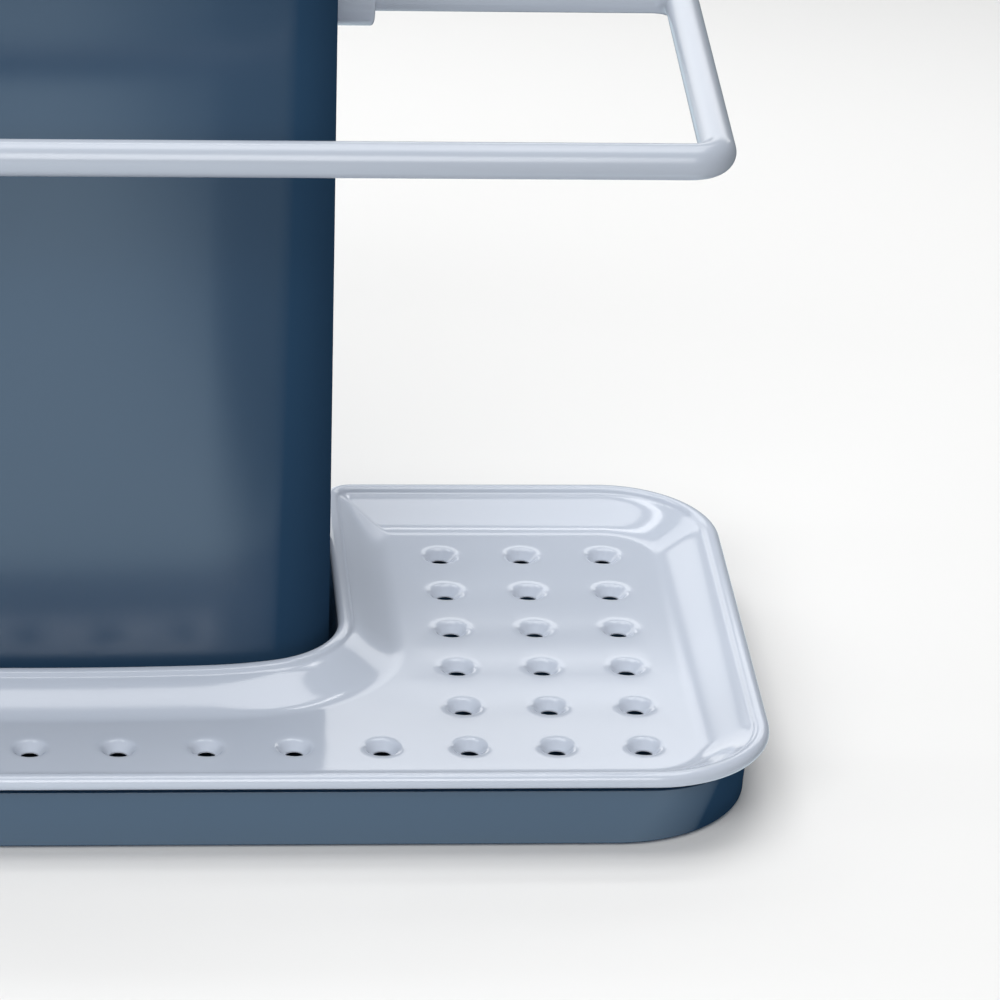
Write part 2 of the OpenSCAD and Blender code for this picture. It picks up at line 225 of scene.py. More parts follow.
class Shape:
    """A mesh in the making, in millimetres."""

    def __init__(self) -> None:
        """Starts with nothing in it."""
        self.bm = bmesh.new()

    def sweep(self, stations: list[Station], sections: dict[Edge, list[Point]], closed: bool = True,
              ring: bool = False, capped: bool = False) -> None:
        """Runs a section along an outline.

        Args:
            stations: Places on the outline, in order.
            sections: Section for each kind of stretch, as distance and height.
            closed: True if the outline joins its start.
            ring: True if the section joins its start.
            capped: True to close both ends of an open run.
        """
        path = stations + stations[:1] if closed else stations
        rows = len(next(iter(sections.values())))
        rows += 1 if ring else 0
        made = bmesh.ops.create_grid(self.bm, x_segments=len(path) - 1, y_segments=rows - 1, size=1.0)
        for k, vert in enumerate(made["verts"]):
            station = path[k % len(path)]
            section = sections[station.edge]
            distance, height = section[(k // len(path)) % len(section)]
            vert.co = (*station.at(distance), height)
        for end in (0, len(path) - 1) if capped else ():
            self.bm.faces.new(made["verts"][end::len(path)])

    def lathe(self, places: list[Place], profile: list[Point], steps: int = 32,
              axis: Place = (0, 0, 1)) -> None:
        """Turns a profile about an axis and sets the turned form at each place.

        Args:
            places: Points on the axis, where heights are counted from.
            profile: Points as radius and height.
            steps: Steps in the full turn.
            axis: Direction in which heights rise.
        """
        lean = Vector((0, 0, 1)).rotation_difference(Vector(axis)).to_matrix()
        turned = bmesh.new()
        verts = [turned.verts.new(lean @ Vector((radius, 0, height))) for radius, height in profile]
        edges = [turned.edges.new(pair) for pair in zip(verts, verts[1:])]
        bmesh.ops.spin(turned, geom=verts + edges, cent=(0, 0, 0), axis=axis, dvec=(0, 0, 0),
                       angle=math.tau, steps=steps, use_merge=True, use_duplicate=False)
        form = bpy.data.meshes.new("turned")
        turned.to_mesh(form)
        turned.free()
        for place in places:
            form.transform(Matrix.Translation(place))
            self.bm.from_mesh(form)
            form.transform(Matrix.Translation(-Vector(place)))
        bpy.data.meshes.remove(form)

    def cover(self, height: float, up: bool = True) -> None:
        """Fills the flat between all open edges at a height.

        Args:
            height: Height of the open edges.
            up: True if the new faces look up.
        """
        self.weld()
        rim = [e for e in self.bm.edges
               if e.is_boundary and all(abs(v.co.z - height) < WELD for v in e.verts)]
        bmesh.ops.triangle_fill(self.bm, edges=rim, use_beauty=True, use_dissolve=False,
                                normal=(0, 0, 1 if up else -1))

    def block(self, low: Place, high: Place, bevel: float) -> None:
        """Adds a box with rounded edges.

        Args:
            low: Lowest corner.
            high: Highest corner.
            bevel: Radius of its edges.
        """
        spans = [b - a for a, b in zip(low, high)]
        middle = [(a + b) / 2 for a, b in zip(low, high)]
        place = Matrix.Translation(middle) @ Matrix.Diagonal((*spans, 1))
        made = bmesh.ops.create_cube(self.bm, size=1.0, matrix=place)
        edges = list({e for v in made["verts"] for e in v.link_edges})
        bmesh.ops.bevel(self.bm, geom=edges, offset=bevel, offset_type="OFFSET", segments=2, profile=0.5,
                        affect="EDGES", material=-1)

    def weld(self) -> None:
        """Merges points that lie on each other, and drops faces that this leaves empty."""
        bmesh.ops.remove_doubles(self.bm, verts=self.bm.verts, dist=WELD)
        bmesh.ops.dissolve_degenerate(self.bm, dist=WELD / 10, edges=self.bm.edges)

    def turn(self, matrix: Matrix) -> None:
        """Moves the whole shape by a matrix."""
        bmesh.ops.transform(self.bm, matrix=matrix, verts=self.bm.verts)

    def finish(self, name: str, body: str, nodes: tuple[str, ...], slot: str,
               material: bpy.types.Material) -> bpy.types.Object:
        """Turns the shape into a piece that rides on a body.

        Args:
            name: Name of the piece.
            body: CAD body that it rides on.
            nodes: CAD nodes that it stands for.
            slot: Material slot of the record; not used.
            material: Its finish.

        Returns:
            The new object.
        """
        self.weld()
        bmesh.ops.recalc_face_normals(self.bm, faces=self.bm.faces)
        bmesh.ops.scale(self.bm, vec=(MM, MM, MM), verts=self.bm.verts)
        open_edges = sum(1 for e in self.bm.edges if not e.is_manifold)
        mesh = bpy.data.meshes.new(name)
        self.bm.to_mesh(mesh)
        self.bm.free()
        mesh.shade_smooth()
        mesh.set_sharp_from_angle(angle=SHARP)
        mesh.materials.append(material)
        piece = bpy.data.objects.new(name, mesh)
        bpy.context.scene.collection.objects.link(piece)
        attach(piece, body)
        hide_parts(*nodes)
        report(piece, nodes, open_edges)
        return piece


def report(piece: bpy.types.Object, nodes: tuple[str, ...], open_edges: int) -> None:
    """Logs a piece's size beside that of the CAD nodes it stands for.

    Args:
        piece: The new piece.
        nodes: CAD nodes that it stands for.
        open_edges: Number of edges that don't join two faces.
    """
    points = [v.co for v in piece.data.vertices]
    own = [f(p[k] for p in points) / MM for f in (min, max) for k in range(3)]
    boxes = [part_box(n) for n in nodes]
    cad = [f(b[i][k] for b in boxes) / MM for i, f in ((0, min), (1, max)) for k in range(3)]
    off = " ".join(f"{a - b:+.2f}" for a, b in zip(own, cad))
    LOG.info("%s: %d faces, %d open edges, off from CAD by %s mm", piece.name, len(piece.data.polygons),
             open_edges, off)


# Finishes -------------------------------------------------------------------------------------


def link(tree: bpy.types.NodeTree, *pairs: tuple[bpy.types.NodeSocket, bpy.types.NodeSocket]) -> None:
    """Links each pair of sockets, from the first to the second."""
    for start, end in pairs:
        tree.links.new(start, end)


def node(tree: bpy.types.NodeTree, kind: str, **values: object) -> bpy.types.Node:
    """Adds a shader node.

    Args:
        tree: Tree that it goes into.
        kind: Node type without its ShaderNode prefix.
        values: Properties of the node, or values of its inputs by name with _ for spaces.

    Returns:
        The node.
    """
    made = tree.nodes.new("ShaderNode" + kind)
    for name, value in values.items():
        if hasattr(made, name):
            setattr(made, name, value)
        else:
            made.inputs[name.replace("_", " ")].default_value = value
    return made


def moulded_group() -> bpy.types.NodeTree:
    """Builds the skin of an injection moulding: a slight drift of colour, faint ripple and fine rubbing.

    Returns:
        The node group.
    """
    tree = bpy.data.node_groups.new("moulded_skin", "ShaderNodeTree")
    face = tree.interface
    for name in ("Colour", "Drift colour"):
        face.new_socket(name=name, in_out="INPUT", socket_type="NodeSocketColor")
    for name in ("Roughness", "Rubbing", "Ripple", "Grain", "Grain scale"):
        face.new_socket(name=name, in_out="INPUT", socket_type="NodeSocketFloat")
    for name, kind in (("Colour", "Color"), ("Roughness", "Float"), ("Normal", "Vector")):
        face.new_socket(name=name, in_out="OUTPUT", socket_type="NodeSocket" + kind)
    given = tree.nodes.new("NodeGroupInput").outputs
    result = tree.nodes.new("NodeGroupOutput").inputs
    place = node(tree, "TexCoord").outputs["Object"]

    cloud = node(tree, "TexNoise", Scale=9.0, Detail=3.0, Roughness=0.55)
    blend = node(tree, "Mix", data_type="RGBA")
    link(tree, (place, cloud.inputs["Vector"]), (cloud.outputs["Fac"], blend.inputs["Factor"]),
         (given["Colour"], blend.inputs["A"]), (given["Drift colour"], blend.inputs["B"]),
         (blend.outputs["Result"], result["Colour"]))

    stretch = node(tree, "Mapping", Scale=(1.0, 1.0, 5.0), Rotation=(0.0, 0.35, 0.2))
    rub = node(tree, "TexNoise", Scale=260.0, Detail=6.0, Roughness=0.7)
    smear = node(tree, "TexNoise", Scale=34.0, Detail=2.0)
    both = node(tree, "Math", operation="MULTIPLY")
    wear = node(tree, "Math", operation="MULTIPLY_ADD")
    link(tree, (place, stretch.inputs["Vector"]), (stretch.outputs["Vector"], rub.inputs["Vector"]),
         (place, smear.inputs["Vector"]), (rub.outputs["Fac"], both.inputs[0]),
         (smear.outputs["Fac"], both.inputs[1]), (both.outputs["Value"], wear.inputs[0]),
         (given["Rubbing"], wear.inputs[1]), (given["Roughness"], wear.inputs[2]),
         (wear.outputs["Value"], result["Roughness"]))

    wave = node(tree, "TexNoise", Scale=55.0, Detail=1.0)
    fine = node(tree, "TexNoise", Detail=2.0, Roughness=0.6)
    low = node(tree, "Bump", Distance=0.001)
    high = node(tree, "Bump", Distance=0.0002)
    link(tree, (place, wave.inputs["Vector"]), (place, fine.inputs["Vector"]),
         (given["Grain scale"], fine.inputs["Scale"]), (wave.outputs["Fac"], low.inputs["Height"]),
         (given["Ripple"], low.inputs["Strength"]), (fine.outputs["Fac"], high.inputs["Height"]),
         (given["Grain"], high.inputs["Strength"]), (low.outputs["Normal"], high.inputs["Normal"]),
         (high.outputs["Normal"], result["Normal"]))
    return tree


@dataclass(frozen=True)
class Plastic:
    """A moulded plastic or rubber."""

    name: str
    colour: Colour
    drift: Colour
    roughness: float
    rubbing: float = 0.1
    ripple: float = 0.012
    grain: float = 0.02
    grain_scale: float = 1400.0
    level: float = 0.5
    edge_shade_level: float | None = None
    turn: Point = (0.1, 0.172)

    def build(self, skin: bpy.types.NodeTree) -> bpy.types.Material:
        """Makes the material.

        Args:
            skin: Node group of a moulded skin.

        Returns:
            The material.
        """
        made = bpy.data.materials.new(self.name)
        made.use_nodes = True
        tree = made.node_tree
        shader = tree.nodes["Principled BSDF"]
        shader.inputs["Specular IOR Level"].default_value = self.level
        # Painted shade: the reflection fades to the edge level as the surface turns side-on to the view,
        # darkening sides and corners.
        if self.edge_shade_level is not None:
            facing = node(tree, "LayerWeight", Blend=0.5)
            level = node(tree, "MapRange", From_Min=self.turn[0], From_Max=self.turn[1], To_Min=self.level,
                         To_Max=self.edge_shade_level)
            link(tree, (facing.outputs["Facing"], level.inputs["Value"]),
                 (level.outputs["Result"], shader.inputs["Specular IOR Level"]))
        group = node(tree, "Group", node_tree=skin, Colour=(*self.colour, 1), Drift_colour=(*self.drift, 1),
                     Roughness=self.roughness, Rubbing=self.rubbing, Ripple=self.ripple, Grain=self.grain,
                     Grain_scale=self.grain_scale)
        link(tree, (group.outputs["Colour"], shader.inputs["Base Color"]),
             (group.outputs["Roughness"], shader.inputs["Roughness"]),
             (group.outputs["Normal"], shader.inputs["Normal"]))
        return made


# Pieces ---------------------------------------------------------------------------------------


@dataclass
class ContainerPlan:
    """Plan that the container, its liner and the rim round it share."""

    width: float = 123.4
    front: float = -17.85
    rear: float = 61.55
    corner: float = 19.5
    bow: float = 600.0
    shoulder: Point = (70.0, 15.0)
    front_corner: float = 17.8
    steps: int = 20
    bow_steps: int = 14

    def half(self, grow: float = 0.0, side: Side = Side.IN, edge: Edge = Edge.OUTER,
             rear_corner: bool = True) -> Outline:
        """Draws the right half, from the middle of the front to the rear.

        Args:
            grow: Distance by which the outline stands outside the container.
            side: Side of the material.
            edge: Section of this stretch.
            rear_corner: True to end at the middle of the rear, False to end on the side.

        Returns:
            The open half outline.
        """
        radius, turned = self.shoulder
        corner_x = self.width / 2 - self.front_corner
        reach = (radius - self.front_corner) * math.sin(math.radians(turned))
        tilt = math.asin((corner_x - reach) / (self.bow - radius))
        x, y = corner_x - reach, self.front + self.bow - (self.bow - radius) * math.cos(tilt)
        corner_y = y - (radius - self.front_corner) * math.cos(math.radians(turned))
        start = 270 + math.degrees(tilt)
        arcs = [((0.0, self.front + self.bow), 270, start, self.bow, self.bow_steps),
                ((x, y), start, 270 + turned, radius, self.steps // 2),
                ((corner_x, corner_y), 270 + turned, 360, self.front_corner, self.steps)]
        if rear_corner:
            middle = (self.width / 2 - self.corner, self.rear - self.corner)
            arcs.append((middle, 0, 90, self.corner, self.steps))
        line = Outline()
        for centre, first, last, bend, steps in arcs:
            line.arc(centre, first, last, bend + grow, steps, side, edge=edge)
        return line

    def loop(self) -> Outline:
        """Draws the whole outline."""
        right = self.half()
        return Outline(right.stations + right.mirrored().stations)


@dataclass
class DrainTray:
    """Pale tray with a rolled rim, dish walls and soft drain holes."""

    plan: ContainerPlan
    rim_x: float = 145.7
    rim_y: float = 66.25
    corner: float = 23.1
    end_corner: float = 4.5
    mitre_fillet: float = 0.9
    roll: float = 1.6
    roll_z: float = 16.2
    floor_z: float = 11.8
    skin: float = 1.8
    run: float = 12.4
    flat: float = 0.8
    rib: Point = (4.5, 6.3)
    skirt_z: float = 3.2
    gap: float = 3.2
    hole: float = 3.6
    collar: float = 2.2
    row_y: float = 43.65
    rows: int = 6
    column_x: float = 87.5
    pitch: float = 17.5

    def dish(self) -> list[Point]:
        """Lists the dish wall from the flat floor up to the top of the roll."""
        keys = [(0.0, 6.0), (0.4, 5.97), (0.8, 5.88), (1.12, 5.72), (1.38, 5.48), (1.58, 5.2), (1.8, 4.98),
                (2.1, 4.82), (2.5, 4.66), (3.2, 4.36), (4.0, 3.95), (4.9, 3.44), (6.0, 2.78), (7.5, 1.88),
                (8.8, 1.16), (9.6, 0.75), (10.3, 0.45), (11.0, 0.22), (11.7, 0.07), (self.run, 0.0),
                (self.run + self.flat, 0.0)]
        return [(d, self.floor_z + h) for d, h in reversed(keys)]

    def underside(self, start: float) -> list[Point]:
        """Lists the underside of the skin.

        Args:
            start: Distance from the rim line where it starts.

        Returns:
            Points from there to the flat floor.
        """
        top = list(reversed(self.dish()))
        under = []
        for k in range(9):
            d = start + (self.run + self.flat - start) * k / 8
            (d0, z0), (d1, z1) = next(p for p in zip(top, top[1:]) if p[1][0] >= d - WELD)
            height = z0 + (z1 - z0) * (d - d0) / (d1 - d0) - self.skin * 1.15
            under.append((d, max(height, self.floor_z - self.skin)))
        under[-1] = (self.run + self.flat, self.floor_z - self.skin)
        return under

    def sections(self) -> dict[Edge, list[Point]]:
        """Draws the rim's section on the outside and round the container."""
        base, ledge = self.floor_z - self.skin, self.roll_z - self.roll
        whole, quarter = (arc_points((0.0, self.roll_z), self.roll, 90, end, 16)[1:] for end in (270, 180))
        outer = [*self.dish(), *whole, (self.rib[0], ledge), (self.rib[0], base), (self.rib[1], base),
                 *self.underside(self.rib[1])]
        inside, low = self.skin - self.roll, self.skirt_z
        notch = [*self.dish(), *quarter, (-self.roll, (self.roll_z + low) / 2), (-self.roll, low),
                 (inside, low), *self.underside(inside)]
        return {Edge.OUTER: outer, Edge.NOTCH: notch}

    def outline(self) -> Outline:
        """Draws the rim line, all round the outside and back round the container."""
        x, y, c = self.rim_x - self.corner, self.rim_y - self.corner, self.corner
        notch = self.plan.half(self.gap, Side.OUT, Edge.NOTCH, rear_corner=False).stations
        side_x = self.plan.width / 2 + self.gap
        end_y = self.rim_y - self.end_corner
        half = Outline()
        half.arc((x, -y), 270, 360, c, 22)
        half.arc((x, y), 0, 90, c, 22)
        half.arc((side_x + self.end_corner, end_y), 90, 180, self.end_corner, 10, fillet=self.mitre_fillet)
        half.stations.append(replace(half.stations[-1], edge=Edge.NOTCH))
        half.stations += list(reversed(notch))
        return Outline(half.stations + half.mirrored().stations)

    def hole_places(self) -> list[Point]:
        """Lists the middles of the drain holes."""
        step = 2 * self.row_y / (self.rows - 1)
        places = [(self.column_x - k * self.pitch, -self.row_y) for k in range(11)]
        for side in (-1, 1):
            for column in range(3):
                x = side * (self.column_x + column * self.pitch)
                places += [(x, -self.row_y + k * step) for k in range(self.rows) if column or k]
        return places

    def build(self, material: bpy.types.Material) -> None:
        """Builds the tray.

        Args:
            material: Its finish.
        """
        shape = Shape()
        shape.sweep(self.outline().stations, self.sections())
        hole, under = self.hole / 2, self.floor_z - self.skin
        bowl = [(5.4, 0.0), (4.9, 0.012), (4.4, 0.045), (4.0, 0.1), (3.68, 0.2), (3.42, 0.36), (3.18, 0.57),
                (2.93, 0.82), (2.67, 1.09), (2.42, 1.34), (2.18, 1.56), (1.97, 1.75), (hole, 1.93),
                (hole, self.collar), (2.5, self.collar), (3.2, 1.95), (4.3, self.skin)]
        shape.lathe([(x, y, 0) for x, y in self.hole_places()],
                    [(radius, self.floor_z - depth) for radius, depth in bowl], 28)
        shape.cover(self.floor_z)
        shape.cover(under, up=False)
        shape.finish("drain_tray_dish", "drain_tray", ("drain_tray",), "pale_gloss", material)


@dataclass
class BaseTray:
    """Slate tray under the drain tray, with locating ribs and rubber feet."""

    plan: ContainerPlan
    size: Point = (287.2, 128.3)
    corner: float = 21.0
    low_corner: float = 28.0
    recess: Point = (1.0, 2.0)
    wall: float = 2.0
    bottom: float = 0.8
    floor_z: float = 2.8
    top: float = 14.6
    rib: Point = (2.6, 4.6)
    rib_h: float = 4.5
    rib_round: float = 0.5
    rib_gap: float = 16.0
    lean: float = 0.0117
    eased: Point = (22.0, 26.5)
    foot: float = 6.0
    foot_t: float = 1.8
    pocket: float = 6.05
    foot_x: float = 126.6
    foot_y: float = 47.15

    def build(self, material: bpy.types.Material, rubber: bpy.types.Material) -> None:
        """Builds the tray and its feet.

        Args:
            material: Finish of the tray.
            rubber: Finish of the feet.
        """
        shape = Shape()
        reach = 9.1
        depth, ledge = self.recess[0], self.top - self.recess[1]
        section = rounded_section(
            [(reach, self.bottom, 0), (0, self.bottom, 0.35), (0, ledge, 0.15), (depth, ledge, 0.05),
             (depth, self.top, 0.2), (self.wall, self.top, 0.3), (self.wall, self.floor_z, 1.4),
             (reach, self.floor_z, 0)], closed=False, steps=5)
        stations = rounded_outline(self.size, (0, 0), self.corner, 20, fillet=1.0).stations
        shape.sweep(stations, {Edge.OUTER: section})
        self.ease_corners(shape)
        feet = {f"{row}_{side}": (x * self.foot_x, y * self.foot_y, 0.0)
                for row, y in (("front", -1), ("rear", 1))
                for side, x in (("left", -1), ("middle", 0), ("right", 1))}
        pocket = [(self.pocket, self.bottom), (self.pocket, self.foot_t), (0, self.foot_t)]
        shape.lathe(list(feet.values()), pocket, 40)
        self.ribs(shape)
        shape.cover(self.floor_z)
        shape.cover(self.bottom, up=False)
        shape.finish("base_tray_shell", "base", ("base_tray",), "slate_gloss", material)
        for name, place in feet.items():
            self.pad(name, place, rubber)

    def ease_corners(self, shape: Shape) -> None:
        """Draws the foot of each corner in, so that the corners are rounder at the bottom.

        Args:
            shape: The swept wall.
        """
        shape.weld()
        grow = self.low_corner - self.corner
        middle = [side / 2 - self.low_corner for side in self.size]
        for axis in (0, 1):
            for k in range(5):
                for sign in (-1, 1):
                    place, way = Vector(), Vector()
                    place[axis], way[axis] = sign * (middle[axis] + grow * k / 4), 1.0
                    bmesh.ops.bisect_plane(shape.bm, geom=[*shape.bm.verts, *shape.bm.edges, *shape.bm.faces],
                                           plane_co=place, plane_no=way)
        for vert in shape.bm.verts:
            local = Vector((abs(vert.co.x) - middle[0], abs(vert.co.y) - middle[1]))
            if local.x <= 0 or local.y <= 0:
                continue
            way = local.normalized()
            total = way.x + way.y
            if min(way) / max(way) <= grow / self.low_corner:
                edge = self.low_corner / max(way)
            else:
                edge = grow * total + math.sqrt((grow * total) ** 2 - 2 * grow ** 2 + self.corner ** 2)
            low = min(max((self.top - vert.co.z) / (self.top - self.bottom), 0.0), 1.0)
            outside = min(max((local.length - self.eased[0]) / (self.eased[1] - self.eased[0]), 0.0), 1.0)
            step = (edge - self.low_corner) * low * outside
            vert.co.x -= math.copysign(way.x * step, vert.co.x)
            vert.co.y -= math.copysign(way.y * step, vert.co.y)

    def ribs(self, shape: Shape) -> None:
        """Adds the four ribs that locate the container."""
        middle_y = (self.plan.front + self.plan.rear) / 2
        gap, top, slip = self.rib_gap / 2, self.floor_z + self.rib_h, self.rib_h * self.lean
        inner, outer = self.rib
        corners = [(inner, self.floor_z, 0), (inner + slip, top, self.rib_round),
                   (outer + slip, top, self.rib_round), (outer, self.floor_z, 0)]
        sections = {Edge.OUTER: rounded_section(corners, closed=False)}
        right = self.plan.half()
        for sign, run in ((1, right.stations), (-1, right.mirrored().stations)):
            side_x, side_angle = sign * self.plan.width / 2, math.pi if sign > 0 else 0.0
            for front in (True, False):
                wall_y = self.plan.front if front else self.plan.rear
                side_y = middle_y - gap if front else middle_y + gap
                ends = [Station((sign * gap, wall_y), math.radians(90 if front else 270), 0.0, Side.OUT),
                        Station((side_x, side_y), side_angle, 0.0, Side.OUT)]
                if front != (sign > 0):
                    ends.reverse()
                kept = [s for s in run if (s.at(0)[1] < middle_y) == front and abs(s.at(0)[0]) > gap]
                shape.sweep([ends[0], *kept, ends[1]], sections, closed=False, capped=True)

    def pad(self, name: str, place: Place, rubber: bpy.types.Material) -> None:
        """Builds one rubber foot with a shallow ring groove underneath.

        Args:
            name: Row and side of the foot.
            place: Middle of its underside.
            rubber: Its finish.
        """
        r, t = self.foot, self.foot_t
        profile = [(0, t), (r - 0.3, t), (r, t - 0.3), (r, 0.35), (r - 0.12, 0.12), (r - 0.4, 0.0),
                   (4.4, 0.0), (4.2, 0.2), (3.6, 0.2), (3.4, 0.0), (0, 0.0)]
        shape = Shape()
        shape.lathe([place], profile, 40)
        shape.finish(f"foot_{name}_pad", "base", (f"foot_{name}",), "foot_rubber", rubber)


@dataclass
class Container:
    """Tall slate sleeve with its rail and sockets."""

    plan: ContainerPlan
    foot_z: float = 2.8
    top: float = 160.8
    wall: float = 2.2
    lean: float = 0.011694
    weep: Point = (6.0, 3.0)
    rail_z: float = 140.1
    socket_y: float = 40.55
    pad_x: float = 60.59
    pad: float = 7.7
    rail_r: float = 3.5
    bend: float = 5.8
    bend_x: float = 124.3
    rail_front: float = -50.65
    splay: float = 1.4
    rail_end: float = 61.84
    key: float = 0.5

    def build(self, slate: bpy.types.Material, pale: bpy.types.Material, satin: bpy.types.Material) -> None:
        """Builds the sleeve, the rail and the sockets.

        Args:
            slate: Finish of the sleeve.
            pale: Finish of the rail, a darker copy of the pale plastic that paints shade on the rail.
            satin: Finish of the sockets.
        """
        self.sleeve(slate)
        self.rail(pale)
        for name, sign in (("left", -1), ("right", 1)):
            self.socket(name, sign, satin)

    def sleeve(self, material: bpy.types.Material) -> None:
        """Builds the sleeve with its weep notches and the flats behind the sockets."""
        inset = (self.top - self.foot_z) * self.lean
        weep_z = self.foot_z + self.weep[1]
        slip = self.weep[1] * self.lean
        section = rounded_section(
            [(0, self.foot_z, 0), (slip, weep_z, 0), (inset, self.top, 0.7),
             (inset + self.wall, self.top, 0.7), (slip + self.wall, weep_z, 0), (self.wall, self.foot_z, 0)],
            closed=True)
        shape = Shape()
        bow = self.plan.bow
        right = [Station((0.0, self.plan.front + bow), math.radians(270) + math.asin(x / bow), bow, Side.IN)
                 for x in (0.0, self.weep[0])]
        right += [s for s in self.plan.half().stations if s.radius < bow or s.at(0)[0] >= self.weep[0] + 1]
        right.append(Station((self.weep[0], self.plan.rear), math.radians(270), 0.0, Side.OUT))
        stations = right + Outline(right).mirrored().stations
        shape.sweep(stations, {Edge.OUTER: section}, ring=True)
        self.cut_weeps(shape, weep_z)
        for sign in (-1, 1):
            r, x = self.pad, sign * (self.pad_x - 1.4)
            profile = [(0, 0), (r, 0), (r, 1.1), (r - 0.1, 1.3), (r - 0.35, 1.4), (0, 1.4)]
            shape.lathe([(x, self.socket_y, self.rail_z)], profile, 48, (sign, 0, 0))
        shape.finish("container_sleeve", "container", ("container",), "container_gloss", material)

    def cut_weeps(self, shape: Shape, weep_z: float) -> None:
        """Opens the weep notches at the foot of the front and the rear.

        Args:
            shape: The sleeve.
            weep_z: Height of the top of a notch.
        """
        shape.weld()
        gone = [f for f in shape.bm.faces if f.calc_center_median().z < weep_z
                and abs(f.calc_center_median().x) < self.weep[0]]
        bmesh.ops.delete(shape.bm, geom=gone, context="FACES")
        for front in (True, False):
            wall = self.plan.front if front else self.plan.rear
            near = [e for e in shape.bm.edges if e.is_boundary and all(abs(v.co.y - wall) < 2 * self.wall
                                                                      for v in e.verts)]
            sides = [e for e in near if abs(e.verts[0].co.y - e.verts[1].co.y) < 1]
            bmesh.ops.bridge_loops(shape.bm, edges=sides)

    def rail(self, material: bpy.types.Material) -> None:
        """Builds the cloth rail, whose sides open out a little to the rear."""
        shape = Shape()
        bm = shape.bm
        place = Matrix.Translation((0, self.rail_front, self.rail_z)) @ Matrix.Rotation(math.pi / 2, 4, "Y")
        ring = bmesh.ops.create_circle(bm, cap_ends=False, radius=self.rail_r, segments=40, matrix=place)
        edges = list({e for v in ring["verts"] for e in v.link_edges})
        tilt = math.radians(self.splay)
        first = self.rail_front + self.bend * (1 - math.sin(tilt))
        last = self.socket_y - self.bend * (1 + math.sin(tilt))
        length = (last - first) / math.cos(tilt)
        edges = self.run(bm, edges, Vector((self.bend_x, 0, 0)))
        centre = Vector((self.bend_x, self.rail_front + self.bend, self.rail_z))
        edges = self.corner(bm, edges, centre, math.pi / 2 - tilt)
        edges = self.run(bm, edges, Vector((math.sin(tilt), math.cos(tilt), 0)) * length)
        centre += Vector((math.sin(tilt) * length, 0, 0))
        centre.y = self.socket_y - self.bend
        edges = self.corner(bm, edges, centre, math.pi / 2 + tilt)
        for x in (self.rail_end + self.key - centre.x, -self.key):
            edges = self.run(bm, edges, Vector((x, 0, 0)))
        verts = list({v for e in edges for v in e.verts})
        middle = Vector((self.rail_end, self.socket_y, self.rail_z))
        bmesh.ops.scale(bm, vec=(1, 0.86, 0.86), space=Matrix.Translation(-middle), verts=verts)
        bmesh.ops.contextual_create(bm, geom=edges)
        bmesh.ops.mirror(bm, geom=bm.verts[:] + bm.edges[:] + bm.faces[:], axis="X", merge_dist=WELD)
        shape.weld()
        shape.finish("cloth_rail", "container", ("rail",), "rail_gloss", material)

    @staticmethod
    def run(bm: bmesh.types.BMesh, edges: list[bmesh.types.BMEdge], way: Vector) -> list[bmesh.types.BMEdge]:
        """Runs a bar straight on.

        Args:
            bm: Mesh of the bar.
            edges: Its open end.
            way: Length and direction.

        Returns:
            The new open end.
        """
        made = bmesh.ops.extrude_edge_only(bm, edges=edges)["geom"]
        bmesh.ops.translate(bm, vec=way, verts=[g for g in made if isinstance(g, bmesh.types.BMVert)])
        return [g for g in made if isinstance(g, bmesh.types.BMEdge)]

    @staticmethod
    def corner(bm: bmesh.types.BMesh, edges: list[bmesh.types.BMEdge], centre: Vector,
               angle: float) -> list[bmesh.types.BMEdge]:
        """Bends a bar about an upright axis.

        Args:
            bm: Mesh of the bar.
            edges: Its open end.
            centre: Point on the axis.
            angle: Angle of the bend.

        Returns:
            The new open end.
        """
        made = bmesh.ops.spin(bm, geom=edges, cent=centre, axis=(0, 0, 1), dvec=(0, 0, 0), angle=angle,
                              steps=18, use_merge=False, use_duplicate=False)["geom_last"]
        return [g for g in made if isinstance(g, bmesh.types.BMEdge)]

    def socket(self, name: str, sign: int, material: bpy.types.Material) -> None:
        """Builds one rail socket, with its spigot in the wall.

        Args:
            name: Side of the socket.
            sign: Side as a sign.
            material: Its finish.
        """
        outer, bore, spigot, root, length, end = 6.5, 3.55, 4.5, 2.7, 9.0, 1.2
        cup = [(outer - 1, 0, 0), (outer, 0, 0.4), (outer, length, 0.9), (bore, length, 0.4),
               (bore, end, 0.3), (0, end, 0)]
        profile = [(0, -root), (spigot, -root), (spigot, 0), *rounded_section(cup, closed=False)]
        shape = Shape()
        shape.lathe([(sign * self.pad_x, self.socket_y, self.rail_z)], profile, 48, (sign, 0, 0))
        node_name = f"rail_socket_{name}"
        shape.finish(f"{node_name}_cup", "container", (node_name,), "socket_plastic", material)


